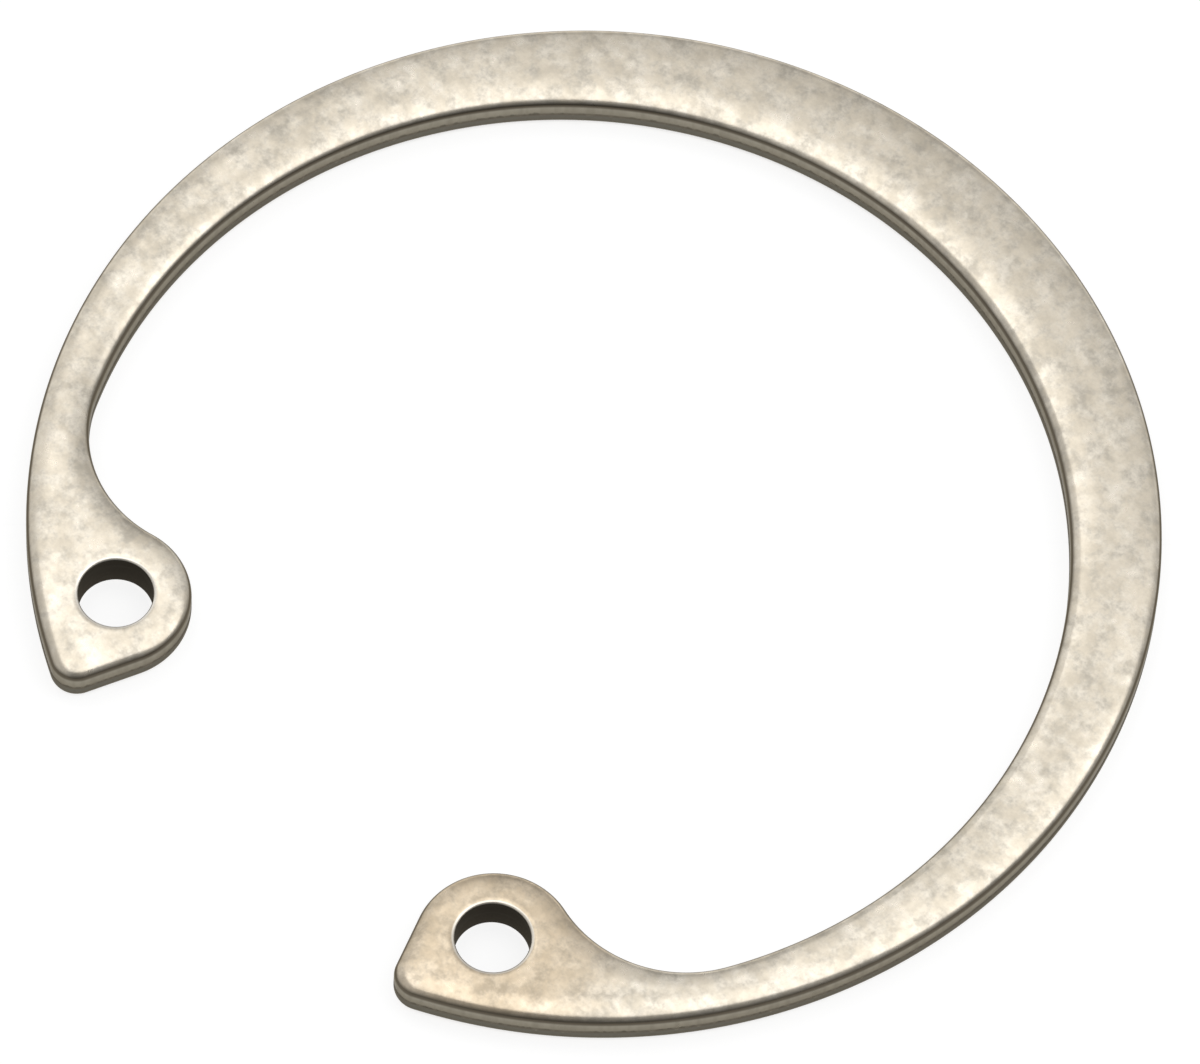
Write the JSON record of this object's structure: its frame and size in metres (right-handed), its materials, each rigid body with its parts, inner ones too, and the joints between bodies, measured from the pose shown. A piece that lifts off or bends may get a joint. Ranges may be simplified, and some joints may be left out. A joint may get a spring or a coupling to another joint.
{
  "type": "internal retaining ring",
  "caption": "Flat open spring-steel ring with a tapering section and a holed lug at each end of its gap, sprung into a groove in a bore to keep a bearing or pin from sliding out.",
  "frame": {"origin": "middle of the rim circle, at half the thickness", "axes": "+Z along the ring's axis, up from the surface that it lies on; the gap looks towards -Y and the widest section is at +Y; X runs from lug to lug"},
  "size_m": [0.0378, 0.0359, 0.0016],
  "materials": {
    "spring_steel": "tumbled satin spring steel with soft rounded edges"
  },
  "bodies": {
    "root": {"ring": "spring_steel"}
  },
  "joints": []
}
